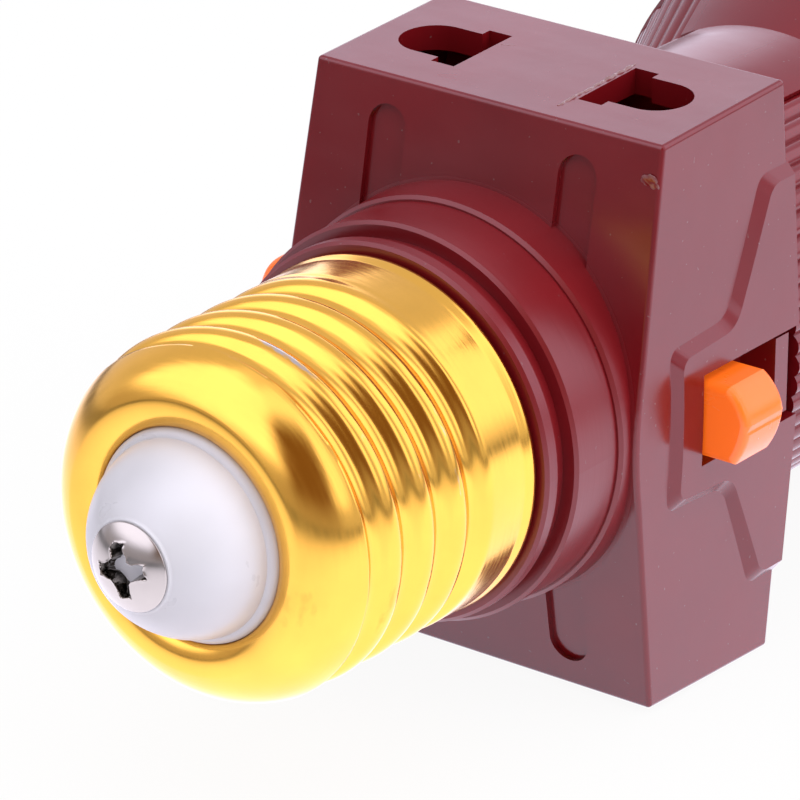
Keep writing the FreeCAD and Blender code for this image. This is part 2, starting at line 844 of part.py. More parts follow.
def neutral_link():
    """Strip from the inside of the brass shell to the neutral strip."""
    z = -link_height
    tail_end = -math.sqrt((thread_root_r - sheet) ** 2 - link_half ** 2) + link_press
    tail = box(-link_half, link_half, -link_place, -link_place + strip, tail_end, z)
    run = box(-link_half, link_half, -link_place, blade_y + strip, z - strip, z)
    foot = box(-web_outer_x + link_foot_inset, link_half, blade_y, blade_y + strip,
               z - strip, z + link_foot_rise)
    return tail.fuse([run, foot]).removeSplitter()


def push_bar():
    """Orange bar across the block, with a notched, rounded end on each side."""
    low = bar_low_z
    high = bar_high_z

    def end_edges(x, side):
        def at(inset, z):
            return V(x - side * inset, bar_front_y, z)

        top = at(bar_top_inset, high)
        crest = at(0, bar_crest_z)
        bottom = at(bar_low_inset, low)
        upper = at(bar_top_inset * 0.27, (high + bar_crest_z) / 2)
        lower = at(bar_low_inset * 0.3, (low + bar_crest_z) / 2)
        return top, bottom, [Part.Arc(top, upper, crest).toShape(), Part.Arc(crest, lower, bottom).toShape()]

    right_top, right_bottom, edges = end_edges(bar_right, 1)
    left_top, left_bottom, left_edges = end_edges(-bar_left, -1)
    edges += left_edges
    edges.append(Part.makeLine(right_top, left_top))
    edges.append(Part.makeLine(right_bottom, left_bottom))
    outline = Part.Wire(Part.__sortEdges__(edges))
    bar = Part.Face(outline).extrude(V(0, bar_depth, 0))
    rims = [edge for edge in bar.Edges if edge.BoundBox.YLength < 0.01]
    bar = bar.makeFillet(bar_round, rims)
    pocket_half = bridge_contact_x + pocket_margin
    pocket_z = bridge_half + pocket_play
    pocket = box(-pocket_half, pocket_half, bar_back_y - bar_pocket_depth, bar_back_y + 1,
                 bar_lift - pocket_z, bar_lift + pocket_z)
    notches = []
    for x in (0.0, -(bar_left - bar_right)):
        corners = [V(x - bar_click_half, bar_front_y - 0.01, low - 1),
                   V(x, bar_front_y + bar_click_depth, low - 1),
                   V(x + bar_click_half, bar_front_y - 0.01, low - 1)]
        notches.append(Part.Face(Part.makePolygon(corners + corners[:1])).extrude(V(0, 0, bar_height + 2)))
    for x, side in ((bar_right, 1), (-bar_left, -1)):
        z = bar_crest_z - bar_notch_half
        opening = bar_notch_half * (1 + 1 / bar_notch)
        corners = [V(x - side * bar_notch, bar_front_y - 1, z), V(x + side, bar_front_y - 1, z + opening),
                   V(x + side, bar_front_y - 1, z - opening)]
        notches.append(Part.Face(Part.makePolygon(corners + corners[:1])).extrude(V(0, bar_depth + 2, 0)))
    return bar.cut([pocket] + notches)


def bridge_contact():
    """Bowed contact carried in the pocket of the push bar."""
    seat = bar_back_y - bar_pocket_depth
    crown = blade_y - contact_play
    x = bridge_contact_x
    foot = bridge_foot_half
    end = x + bridge_lip
    low = crown - strip - bridge_lip_drop
    line = [V(-end, low, 0), V(-x, crown - strip, 0), V(-foot, seat, 0), V(foot, seat, 0),
            V(x, crown - strip, 0), V(end, low, 0)]
    thick = [point + V(0, strip, 0) for point in line[::-1]]
    outline = [point + V(0, 0, bar_lift - bridge_half) for point in line + thick]
    return Part.Face(Part.makePolygon(outline + outline[:1])).extrude(V(0, 0, 2 * bridge_half))


def detent_spring():
    """Leaf spring in front of the push bar, resting on two ribs."""
    seat = spring_seat_y()
    crown = bar_front_y - contact_play - spring_sheet
    end = spring_span + spring_end
    bend = spring_span - spring_seat_length
    top = spring_crown_half
    low = crown - spring_crown_drop
    line = [V(-end, seat, 0), V(-bend, seat, 0), V(-top, low, 0), V(0, crown, 0), V(top, low, 0),
            V(bend, seat, 0), V(end, seat, 0)]
    thick = [point + V(0, spring_sheet, 0) for point in line[::-1]]
    outline = [point + V(0, 0, -spring_half) for point in line + thick]
    return Part.Face(Part.makePolygon(outline + outline[:1])).extrude(V(0, 0, 2 * spring_half))


def rivet(x, z, front, rear):
    """Rivet with a flat head at each end."""
    shank = rod(rivet_r, front, rear, x, z)
    front_head = rod(rivet_head_r - 0.2, front - rivet_head, front, x, z)
    rear_head = rod(rivet_head_r, rear, rear + rivet_head, x, z)
    return shank.fuse([front_head, rear_head]).removeSplitter()


def socket_insulator():
    """Disc between the cover floor and the lamp shell."""
    disc = rod(socket_disc_r, floor_y, disc_y)
    holes = [rod(rivet_r, floor_y - 1, disc_y + 1, tongue_rivet_x, 0)]
    for place in shell_rivet_places():
        holes.append(rod(rivet_r, floor_y - 1, disc_y + 1, place.x, place.z))
    return disc.cut(holes)


def socket_shell():
    """Female screw shell for the lamp, with a flange at its floor."""
    end = disc_y + lamp_shell_length
    floor = disc_y + sheet
    inner = threaded_body(end + 1, floor, end, floor, lamp_thread_root_r, lamp_thread_crest_r, disc_y)
    shell = rod(lamp_shell_r, disc_y, end).cut([inner, rod(socket_opening_r, disc_y - 1, end)])
    holes = []
    for place in shell_rivet_places():
        holes.append(rod(rivet_r, disc_y - 1, disc_y + 1, place.x, place.z))
    return shell.cut(holes)


def lamp_contact():
    """Sprung tongue for the centre of the lamp."""
    half = tongue_width / 2
    end = tongue_rivet_x + tongue_foot_outer
    top = disc_y + tongue_rise
    line = [V(end, disc_y, 0), V(tongue_rivet_x - tongue_foot_inner, disc_y, 0), V(tongue_top_half, top, 0),
            V(-tongue_top_half, top, 0), V(-tongue_tip, top - tongue_drop, 0)]
    thick = [point + V(0, strip, 0) for point in line[::-1]]
    outline = [point + V(0, 0, -half) for point in line + thick]
    tongue = Part.Face(Part.makePolygon(outline + outline[:1])).extrude(V(0, 0, 2 * half))
    tongue = tongue.common(rod(socket_opening_r - tongue_play, disc_y, disc_y + 2 * tongue_rise))
    return tongue.cut(rod(rivet_r, disc_y - 1, disc_y + 1, tongue_rivet_x, 0))


def lamp_contact_rivet():
    """Rivet through the tongue, disc, cover, live strip and switch blade."""
    return rivet(tongue_rivet_x, 0, blade_y, disc_y + strip)


def shell_rivets():
    """Two rivets through the flange of the lamp shell, one also through the neutral strip."""
    places = shell_rivet_places()
    first = rivet(places[0].x, places[0].z, web_y, disc_y + sheet)
    second = rivet(places[1].x, places[1].z, strip_y, disc_y + sheet)
    return Part.makeCompound([first, second])


def cover_screws():
    """Two pan-head screws that hold the rear cover."""
    screws = []
    for place in cover_screw_places():
        x = place.x
        z = place.z
        shank = rod(cover_screw_r - 0.15, back_y - cover_screw_length, back_y, x, z)
        head = rod(cover_screw_head_r, back_y, back_y + cover_screw_head, x, z)
        rim = [edge for edge in head.Edges if edge.BoundBox.YMin > back_y + cover_screw_head - 0.01]
        head = head.makeFillet(0.5, rim)
        top = back_y + cover_screw_head
        half = cover_screw_cross / 2
        arm = cover_screw_head_r * 0.6
        cross = box(x - arm, x + arm, top - 0.7, top + 1, z - half, z + half)
        cross = cross.fuse(box(x - half, x + half, top - 0.7, top + 1, z - arm, z + arm))
        screws.append(shank.fuse(head).cut(cross))
    return Part.makeCompound(screws)


NODES = [
    main_housing, rear_cover, screw_shell, base_insulator, contact_screw, contact_washer, contact_nut,
    line_strip, switch_blade, live_strip, neutral_strip, neutral_link, push_bar, bridge_contact,
    detent_spring, socket_insulator, socket_shell, lamp_contact, lamp_contact_rivet, shell_rivets,
    cover_screws,
]


def main():
    """Write one file for each piece."""
    os.makedirs("parts", exist_ok=True)
    for make in NODES:
        shape = make()
        shape.exportStep("parts/" + make.__name__ + ".step")
        print(make.__name__, shape.isValid(), len(shape.Solids), round(shape.Volume, 2))


main()
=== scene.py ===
"""Looks of the lamp holder adaptor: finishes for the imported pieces, and fine turned parts."""

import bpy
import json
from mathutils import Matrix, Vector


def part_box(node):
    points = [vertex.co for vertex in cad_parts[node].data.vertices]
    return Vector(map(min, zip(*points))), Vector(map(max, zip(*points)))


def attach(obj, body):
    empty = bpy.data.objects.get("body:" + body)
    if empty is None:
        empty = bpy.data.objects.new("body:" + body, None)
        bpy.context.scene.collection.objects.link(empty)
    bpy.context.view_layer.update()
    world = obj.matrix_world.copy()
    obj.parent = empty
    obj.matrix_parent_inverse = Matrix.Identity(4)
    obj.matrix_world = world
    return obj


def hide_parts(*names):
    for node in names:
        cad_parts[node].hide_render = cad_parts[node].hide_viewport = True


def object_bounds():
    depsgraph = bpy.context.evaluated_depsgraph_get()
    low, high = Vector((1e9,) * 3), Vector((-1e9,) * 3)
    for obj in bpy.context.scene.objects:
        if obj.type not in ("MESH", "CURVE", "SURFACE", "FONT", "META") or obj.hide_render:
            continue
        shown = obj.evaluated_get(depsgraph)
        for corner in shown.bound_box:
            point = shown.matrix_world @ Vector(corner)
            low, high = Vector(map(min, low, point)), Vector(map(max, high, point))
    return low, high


bl_info = {
    "name": "Lamp Holder Adaptor",
    "version": (1, 0, 0),
    "blender": (4, 5, 0),
    "location": "View3D > Sidebar > Lamp Holder",
    "description": "Dresses a screw-in lamp holder with outlets and a push-bar switch",
    "category": "Object",
}

import json
import math

import bmesh
import bpy
from bpy.props import FloatProperty, FloatVectorProperty, IntProperty, PointerProperty
from bpy.types import Operator, Panel, PropertyGroup
from mathutils import Matrix, Vector, noise

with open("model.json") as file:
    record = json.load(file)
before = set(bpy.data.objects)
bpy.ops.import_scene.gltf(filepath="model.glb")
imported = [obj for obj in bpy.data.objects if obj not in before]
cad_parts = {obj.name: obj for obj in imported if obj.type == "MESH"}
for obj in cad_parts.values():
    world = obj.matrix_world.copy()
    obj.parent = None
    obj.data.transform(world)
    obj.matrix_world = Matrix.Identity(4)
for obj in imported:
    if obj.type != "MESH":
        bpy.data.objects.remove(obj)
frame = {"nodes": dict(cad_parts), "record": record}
CAD_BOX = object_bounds()
HOLDER = "holder"
FULL = 2 * math.pi
AXIS = Vector((0, 1, 0))


def node_box(node):
    """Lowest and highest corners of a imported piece."""
    low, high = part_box(node)
    return Vector(low), Vector(high)


FOLD_Y = node_box("screw_shell")[0].y
CONE_TIP_Y = node_box("base_insulator")[0].y
CONE_BACK_Y = node_box("base_insulator")[1].y
SCREW_APEX_Y = node_box("contact_screw")[0].y


# The round boss, whose plastic shows turning marks
BOSS_RADIUS = 0.0155
BOSS_END_Y = 0.0116

# Seed of the chewed edges of the screw's cross, which would otherwise differ at every run
CHEW_SEED = 1796100377

# Colours of rubbed metal
BRASS_WEAR = (0.62, 0.56, 0.5)
NICKEL_WEAR = (0.4, 0.37, 0.35)

# Names of the finishes by the record's slots
FINISH_NAMES = {
    "maroon_plastic": "glossy maroon plastic",
    "orange_plastic": "glossy orange plastic",
    "shell_brass": "bright brass",
    "strip_brass": "stamped brass",
    "nickel_steel": "nickel plate",
    "white_insulator": "white insulator",
}

# Lamps: name, place, target, width, height and power
LAMPS = (
    ("top softbox", (0.1, -0.1, 0.75), (0, 0, 0), 0.9, 0.9, 5.0),
    ("right softbox", (0.8, 0.15, 0.25), (0, 0.02, 0), 0.7, 0.9, 5.5),
    ("left softbox", (-0.7, -0.45, 0.35), (0, 0, 0), 0.4, 0.5, 0.8),
)

# Room seen in shiny surfaces, later patches over earlier ones: bearing from +Y, height,
# half width, half height and soft edge in degrees, and the brightness of each channel
PATCHES = (
    (0, 0, 200, 100, 1, (0.44, 0.44, 0.44)),
    (0, 88, 200, 14, 5, (0.6, 0.6, 0.6)),
    (0, -55, 200, 48, 8, (0.84, 0.84, 0.84)),
    (-155, 48, 50, 30, 8, (1.12, 1.12, 1.12)),
    (130, 74, 35, 12, 8, (0.95, 0.95, 0.95)),
    (98, 43, 11, 32, 4, (1.0, 1.0, 1.0)),
    (-22, 13, 34, 14, 6, (1.0, 1.0, 1.0)),
    (37, 30, 26, 25, 6, (1.0, 1.0, 1.0)),
    (-95, 22, 10, 11, 7, (0.4, 0.4, 0.4)),
    (180, 4, 75, 9, 7, (0.32, 0.3, 0.28)),
    (137, 31, 26, 24, 9, (0.13, 0.074, 0.035)),
)


class HolderShell(PropertyGroup):
    """Sizes of the brass screw shell."""
    crest: FloatProperty(
        name="Crest radius", description="Outer radius of the thread", default=0.0131,
        unit="LENGTH")
    root: FloatProperty(
        name="Root radius", description="Radius in the bottom of the thread", default=0.01215,
        unit="LENGTH")
    pitch: FloatProperty(
        name="Pitch", description="Distance between two turns", default=0.003629,
        unit="LENGTH")
    valley: FloatProperty(
        name="Valley place", description="Distance of a valley behind the rim", default=0.0075,
        unit="LENGTH")
    valley_angle: FloatProperty(
        name="Valley angle", description="Where that valley lies round the axis",
        default=math.radians(125.5), subtype="ANGLE")
    skirt: FloatProperty(
        name="Skirt", description="Plain length behind the rim", default=0.0043, unit="LENGTH")
    thread_end: FloatProperty(
        name="Thread end", description="Where the thread fades into the dome", default=0.0198,
        unit="LENGTH")
    fade: FloatProperty(
        name="Fade", description="Length in which the thread grows to full depth",
        default=0.00163, unit="LENGTH")
    sheet: FloatProperty(
        name="Sheet", description="Thickness of the brass", default=0.0004, unit="LENGTH")
    flare: FloatProperty(
        name="Flare", description="How far the rim stands out", default=0.00015, unit="LENGTH")
    dome: FloatProperty(
        name="Dome", description="Where the dome begins behind the rim", default=0.0175,
        unit="LENGTH")
    fullness: FloatProperty(
        name="Fullness", description="How square the dome is", default=0.64)
    fold: FloatProperty(
        name="Fold", description="Radius of the dome's foremost ring", default=0.00983,
        unit="LENGTH")
    hole: FloatProperty(
        name="Hole", description="Radius of the hole round the insulator", default=0.00773,
        unit="LENGTH")
    ring: FloatProperty(
        name="Ring", description="Where the fold ends behind the rim", default=0.02135,
        unit="LENGTH")
    scuff: FloatProperty(
        name="Scuff", description="Place of the rub mark behind the rim", default=0.0157,
        unit="LENGTH")
    scuff_width: FloatProperty(
        name="Scuff width", description="How far the mark reaches across", default=0.0011,
        unit="LENGTH")
    scuff_angle: FloatProperty(
        name="Scuff angle", description="Where it lies round the axis",
        default=math.radians(66), subtype="ANGLE")
    scuff_spread: FloatProperty(
        name="Scuff spread", description="How far it reaches round the axis",
        default=math.radians(17), subtype="ANGLE")
    steps: IntProperty(
        name="Steps", description="Divisions round the shell", default=240, min=48)


class HolderTip(PropertyGroup):
    """Sizes of the white insulator and the screw in it."""
    foot: FloatProperty(
        name="Foot", description="Radius of the insulator's foot", default=0.0077,
        unit="LENGTH")
    top: FloatProperty(
        name="Top", description="Radius of the insulator under the screw head",
        default=0.00335, unit="LENGTH")
    crown: FloatProperty(
        name="Crown", description="How far the slope bulges", default=0.0005, unit="LENGTH")
    head: FloatProperty(
        name="Head", description="Radius of the screw head", default=0.00318, unit="LENGTH")
    rim: FloatProperty(
        name="Rim", description="Height of the head's straight edge", default=0.00015,
        unit="LENGTH")
    cross: FloatProperty(
        name="Cross", description="Length of the worn cross", default=0.0037, unit="LENGTH")
    arm: FloatProperty(
        name="Arm", description="Width of an arm of the cross", default=0.0012, unit="LENGTH")
    depth: FloatProperty(
        name="Depth", description="Depth of the cross", default=0.0014, unit="LENGTH")
    turn: FloatProperty(
        name="Turn", description="How the cross is turned", default=math.radians(-10),
        subtype="ANGLE")
    wear: FloatProperty(
        name="Wear", description="How far the cross's edges are chewed", default=0.00022,
        unit="LENGTH")


class HolderMarks(PropertyGroup):
    """Torn flash on the block's upper face and a rubbed spot near its front edge."""
    burr_start: FloatVectorProperty(
        name="Burr start", description="Front end, across and along the axis", size=2,
        default=(0.00462, 0.0139), subtype="XYZ", unit="LENGTH")
    burr_end: FloatVectorProperty(
        name="Burr end", description="Rear end, across and along the axis", size=2,
        default=(0.00468, 0.0233), subtype="XYZ", unit="LENGTH")
    burr_width: FloatProperty(
        name="Burr width", description="Width of the flash", default=0.0003, unit="LENGTH")
    burr_height: FloatProperty(
        name="Burr height", description="Height of the flash", default=0.00016, unit="LENGTH")
    nick_start: FloatVectorProperty(
        name="Nick start", description="Front end of the left outlet's flash", size=2,
        default=(-0.0054, 0.0209), subtype="XYZ", unit="LENGTH")
    nick_end: FloatVectorProperty(
        name="Nick end", description="Rear end of the left outlet's flash", size=2,
        default=(-0.0044, 0.0214), subtype="XYZ", unit="LENGTH")
    chip_place: FloatVectorProperty(
        name="Chip", description="Place of the rubbed spot, across and up", size=2,
        default=(0.0142, 0.0186), subtype="XYZ", unit="LENGTH")
    chip_size: FloatVectorProperty(
        name="Chip size", description="Half width, half height and rise", size=3,
        default=(0.00075, 0.00055, 0.00007), subtype="XYZ", unit="LENGTH")


class HolderColours(PropertyGroup):
    """Colours of the finishes."""
    maroon: FloatVectorProperty(
        name="Maroon", description="Moulded block and tube", subtype="COLOR", size=3,
        default=(0.16, 0.0048, 0.008), min=0, max=1)
    orange: FloatVectorProperty(
        name="Orange", description="Push bar", subtype="COLOR", size=3,
        default=(1.0, 0.16, 0.012), min=0, max=1)
    brass: FloatVectorProperty(
        name="Brass", description="Screw shell", subtype="COLOR", size=3,
        default=(1.0, 0.545, 0.085), min=0, max=1)
    white: FloatVectorProperty(
        name="White", description="Insulator", subtype="COLOR", size=3,
        default=(0.62, 0.6, 0.665), min=0, max=1)
    nickel: FloatVectorProperty(
        name="Nickel", description="Screws", subtype="COLOR", size=3,
        default=(0.52, 0.48, 0.43), min=0, max=1)


class HolderStage(PropertyGroup):
    """Camera and light."""
    eye: FloatVectorProperty(
        name="Eye", description="Camera place", subtype="XYZ", size=3, unit="LENGTH",
        default=(0.23203, -0.30739, 0.16739))
    look: FloatVectorProperty(
        name="Look", description="Viewing direction", subtype="XYZ", size=3,
        default=(-0.5515, 0.7357, -0.3932))
    up: FloatVectorProperty(
        name="Up", description="Upward direction in the picture", subtype="XYZ", size=3,
        default=(-0.2412, 0.3106, 0.9194))
    lens: FloatProperty(
        name="Lens", description="Focal length on a 36 mm frame", default=272.9, unit="CAMERA")
    shadow: FloatProperty(
        name="Shadow", description="How much of the floor's shadow the camera sees",
        default=0.07, min=0, max=1)
    surround: FloatProperty(
        name="Surround", description="Soft light from all sides", default=0.48, min=0)
    mirrored: FloatProperty(
        name="Mirrored", description="Brightness of what shiny surfaces reflect", default=1.9,
        min=0)
    cast: FloatVectorProperty(
        name="Cast", description="Tint of what shiny surfaces reflect", subtype="COLOR",
        size=3, default=(0.95, 0.92, 1.1), min=0, max=2)
    table: FloatVectorProperty(
        name="Table", description="Middle of the lit table top", subtype="XYZ", size=3,
        unit="LENGTH", default=(0.05, 0.06, CAD_BOX[0][2]))
    table_edge: FloatProperty(
        name="Table edge", description="How far the lit table top reaches", default=0.31,
        unit="LENGTH")


def new_material(name):
    """Empty node material with its shader and output."""
    material = bpy.data.materials.new(name)
    material.use_nodes = True
    nodes = material.node_tree.nodes
    nodes.clear()
    output = nodes.new("ShaderNodeOutputMaterial")
    shader = nodes.new("ShaderNodeBsdfPrincipled")
    material.node_tree.links.new(shader.outputs["BSDF"], output.inputs["Surface"])
    return material, nodes, material.node_tree.links, shader


def object_noise(nodes, links, scale, detail, stretch=(1, 1, 1)):
    """Noise on the piece's own coordinates, in metres."""
    coordinates = nodes.new("ShaderNodeTexCoord")
    mapping = nodes.new("ShaderNodeMapping")
    mapping.inputs["Scale"].default_value = stretch
    texture = nodes.new("ShaderNodeTexNoise")
    texture.inputs["Scale"].default_value = scale
    texture.inputs["Detail"].default_value = detail
    links.new(coordinates.outputs["Object"], mapping.inputs["Vector"])
    links.new(mapping.outputs["Vector"], texture.inputs["Vector"])
    return texture


def ramp(nodes, links, source, low, high, dark, light):
    """Colour ramp between two places of a value."""
    node = nodes.new("ShaderNodeValToRGB")
    node.color_ramp.elements[0].position = low
    node.color_ramp.elements[0].color = (*dark, 1)
    node.color_ramp.elements[1].position = high
    node.color_ramp.elements[1].color = (*light, 1)
    links.new(source, node.inputs["Fac"])
    return node


def grey(value):
    """Three equal channels."""
    return (value, value, value)


def bump(nodes, links, source, distance, shader, strength=1.0):
    """Small height from a value."""
    node = nodes.new("ShaderNodeBump")
    node.inputs["Strength"].default_value = strength
    node.inputs["Distance"].default_value = distance
    links.new(source, node.inputs["Height"])
    links.new(node.outputs["Normal"], shader.inputs["Normal"])


def tinted(colour, share, most=1.0):
    """Lighter or darker colour."""
    return tuple(min(most, channel * share) for channel in colour)


def spotted(nodes, links, under, source, low, high, colour):
    """Another colour where a value is high."""
    spots = ramp(nodes, links, source, low, high, grey(0), grey(1))
    mix = nodes.new("ShaderNodeMix")
    mix.data_type = "RGBA"
    mix.inputs["B"].default_value = (*colour, 1)
    links.new(spots.outputs["Color"], mix.inputs["Factor"])
    links.new(under, mix.inputs["A"])
    return mix.outputs["Result"]


def calc(nodes, links, operation, first, second=0.0):
    """Result of one sum on a socket and a socket or number."""
    node = nodes.new("ShaderNodeMath")
    node.operation = operation
    links.new(first, node.inputs[0])
    if isinstance(second, float):
        node.inputs[1].default_value = second
    else:
        links.new(second, node.inputs[1])
    return node.outputs[0]


def painted(nodes, name):
    """Value that was written on the mesh's points."""
    node = nodes.new("ShaderNodeAttribute")
    node.attribute_name = name
    return node.outputs["Fac"]


def swirled(nodes, links, radius):
    """Fine turning lines round the lamp axis, and a mask that is one on the boss."""
    coordinates = nodes.new("ShaderNodeTexCoord")
    parts = nodes.new("ShaderNodeSeparateXYZ")
    links.new(coordinates.outputs["Object"], parts.inputs["Vector"])
    flat = nodes.new("ShaderNodeMapping")
    flat.inputs["Scale"].default_value = (1, 0, 1)
    links.new(coordinates.outputs["Object"], flat.inputs["Vector"])
    size = nodes.new("ShaderNodeVectorMath")
    size.operation = "LENGTH"
    links.new(flat.outputs["Vector"], size.inputs[0])
    angle = calc(nodes, links, "ARCTAN2", parts.outputs["X"], parts.outputs["Z"])
    place = nodes.new("ShaderNodeCombineXYZ")
    links.new(size.outputs["Value"], place.inputs["X"])
    links.new(parts.outputs["Y"], place.inputs["Y"])
    links.new(angle, place.inputs["Z"])
    stretched = nodes.new("ShaderNodeMapping")
    stretched.inputs["Scale"].default_value = (2600, 2600, 1.6)
    links.new(place.outputs["Vector"], stretched.inputs["Vector"])
    lines = nodes.new("ShaderNodeTexNoise")
    lines.inputs["Scale"].default_value = 1
    lines.inputs["Detail"].default_value = 3
    links.new(stretched.outputs["Vector"], lines.inputs["Vector"])
    near = calc(nodes, links, "LESS_THAN", size.outputs["Value"], radius)
    before = calc(nodes, links, "LESS_THAN", parts.outputs["Y"], BOSS_END_Y)
    return lines.outputs["Fac"], calc(nodes, links, "MULTIPLY", near, before)


def moulded_plastic(name, colour, roughness, speck, glow=0.0, swirl=0.0):
    """Glossy moulding: faint flow marks, fine waviness and a few pale dust specks."""
    nodes, links, shader = new_material(name)[1:]
    flow = object_noise(nodes, links, 90, 3, (1, 0.6, 1))
    tone = ramp(nodes, links, flow.outputs["Fac"], 0.3, 0.7, tinted(colour, 0.9),
                tinted(colour, 1.1))
    dust = object_noise(nodes, links, 3300, 0)
    pale = spotted(nodes, links, tone.outputs["Color"], dust.outputs["Fac"], speck, speck + 0.04,
                   tuple(channel * 0.75 + 0.05 for channel in colour))
    whitened = spotted(nodes, links, pale, painted(nodes, "torn"), 0.1, 0.9,
                       tuple(channel * 0.8 + 0.12 for channel in colour))
    links.new(whitened, shader.inputs["Base Color"])
    rub = object_noise(nodes, links, 260, 4, (0.4, 1.6, 1))
    rough = ramp(nodes, links, rub.outputs["Fac"], 0.3, 0.75, grey(roughness * 0.8),
                 grey(roughness * 1.5))
    links.new(rough.outputs["Color"], shader.inputs["Roughness"])
    fine = object_noise(nodes, links, 300, 2)
    height = fine.outputs["Fac"]
    if swirl:
        lines, near = swirled(nodes, links, swirl)
        soft = nodes.new("ShaderNodeMix")
        links.new(near, soft.inputs["Factor"])
        links.new(rough.outputs["Color"], soft.inputs["A"])
        soft.inputs["B"].default_value = roughness * 1.9
        links.new(soft.outputs["Result"], shader.inputs["Roughness"])
        ridged = nodes.new("ShaderNodeMix")
        links.new(near, ridged.inputs["Factor"])
        links.new(height, ridged.inputs["A"])
        links.new(lines, ridged.inputs["B"])
        height = ridged.outputs["Result"]
    bump(nodes, links, height, 0.00003, shader, 0.35)
    shader.inputs["IOR"].default_value = 1.55
    # Painted glow: the plastic gives off light in its own colour, as strong as glow
    shader.inputs["Emission Color"].default_value = (*tinted(colour, 1.0), 1)
    shader.inputs["Emission Strength"].default_value = glow


def metal(name, colour, roughness, grain, wear, wear_colour):
    """Pressed or plated metal: fine turning marks, rubbed spots and painted shade in a chewed
    recess.
    """
    nodes, links, shader = new_material(name)[1:]
    shader.inputs["Metallic"].default_value = 1.0
    cloud = object_noise(nodes, links, 240, 4)
    tone = ramp(nodes, links, cloud.outputs["Fac"], 0.3, 0.75, tinted(colour, 0.9), colour)
    rubbed = object_noise(nodes, links, 420, 5, (0.35, 1.3, 0.35))
    marked = spotted(nodes, links, tone.outputs["Color"], rubbed.outputs["Fac"], wear, wear + 0.04,
                     tinted(colour, 0.8))
    scratches = object_noise(nodes, links, 2100, 3, (0.5, 1.6, 0.5))
    bare = calc(nodes, links, "MULTIPLY", painted(nodes, "rubbed"), scratches.outputs["Fac"])
    marked = spotted(nodes, links, marked, bare, 0.55, 0.95, wear_colour)
    # Painted shade: the walls of the cross's recess turn almost black, where shadow would fall
    dark = spotted(nodes, links, marked, painted(nodes, "worn"), 0.2, 0.7, tinted(colour, 0.12))
    links.new(dark, shader.inputs["Base Color"])
    lines = object_noise(nodes, links, grain, 3, (0.25, 3, 0.25))
    rough = ramp(nodes, links, lines.outputs["Fac"], 0.25, 0.75, grey(roughness * 0.7),
                 grey(roughness * 1.35))
    links.new(rough.outputs["Color"], shader.inputs["Roughness"])
    bump(nodes, links, lines.outputs["Fac"], 0.000012, shader, 0.5)


def make_finishes():
    """Make the finishes of all slots."""
    colours = bpy.context.scene.holder_colours
    names = FINISH_NAMES
    moulded_plastic(names["maroon_plastic"], tuple(colours.maroon), 0.17, 0.83,
                    swirl=BOSS_RADIUS)
    # The orange bar carries a painted glow
    moulded_plastic(names["orange_plastic"], tuple(colours.orange), 0.22, 0.95, glow=0.3)
    metal(names["shell_brass"], tuple(colours.brass), 0.17, 1300, 0.69, BRASS_WEAR)
    metal(names["strip_brass"], tinted(colours.brass, 0.85), 0.3, 700, 0.8, BRASS_WEAR)
    metal(names["nickel_steel"], tuple(colours.nickel), 0.16, 800, 0.8, NICKEL_WEAR)
    moulded_plastic(names["white_insulator"], tuple(colours.white), 0.3, 0.95)


def finish(slot):
    """Material for a slot, made once."""
    if FINISH_NAMES[slot] not in bpy.data.materials:
        make_finishes()
    return bpy.data.materials[FINISH_NAMES[slot]]


def mesh_from(bm, name):
    """Smooth mesh of a finished bmesh."""
    mesh = bpy.data.meshes.new(name)
    bm.to_mesh(mesh)
    bm.free()
    mesh.shade_smooth()
    return mesh


def dressed(name, mesh, body, slot, replaced=None):
    """Object for a finished mesh, riding on a body."""
    piece = bpy.data.objects.new(name, mesh)
    bpy.context.scene.collection.objects.link(piece)
    mesh.materials.append(finish(slot))
    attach(piece, body)
    if replaced:
        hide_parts(replaced)


def arc_points(start, middle, end, count):
    """Points on the circle through three (radius, y) places, without the first."""
    a, b, c = (complex(*place) for place in (start, middle, end))
    turn = (c - a) / (b - a)
    centre = a + (b - a) * (turn - abs(turn) ** 2) / (2j * turn.imag)
    first = math.atan2((a - centre).imag, (a - centre).real)
    sweep = math.atan2(((c - centre) / (a - centre)).imag, ((c - centre) / (a - centre)).real)
    points = []
    for i in range(1, count + 1):
        angle = first + sweep * i / count
        points.append((centre.real + abs(a - centre) * math.cos(angle),
                       centre.imag + abs(a - centre) * math.sin(angle)))
    return points


def line_points(start, end, step):
    """Points on a straight stretch at most a step apart, without the first."""
    count = max(1, math.ceil(math.dist(start, end) / step))
    return [(start[0] + (end[0] - start[0]) * i / count, start[1] + (end[1] - start[1]) * i / count)
            for i in range(1, count + 1)]


def turned_mesh(name, profile, steps, change=None, smooth=60, closed=False):
    """Mesh turned about the lamp axis from (radius, y) points, in metres."""
    bm = bmesh.new()
    verts = [bm.verts.new((r, y, 0)) for r, y in profile]
    edges = [bm.edges.new(pair) for pair in zip(verts[:-1], verts[1:])]
    if closed:
        edges.append(bm.edges.new((verts[-1], verts[0])))
    bmesh.ops.spin(bm, geom=verts + edges, cent=(0, 0, 0), axis=AXIS, dvec=(0, 0, 0), angle=FULL,
                   steps=steps, use_merge=True)
    bmesh.ops.remove_doubles(bm, verts=bm.verts, dist=1e-7)
    if change:
        change(bm)
    bmesh.ops.recalc_face_normals(bm, faces=bm.faces)
    mesh = mesh_from(bm, name)
    mesh.set_sharp_from_angle(angle=math.radians(smooth))
    return mesh


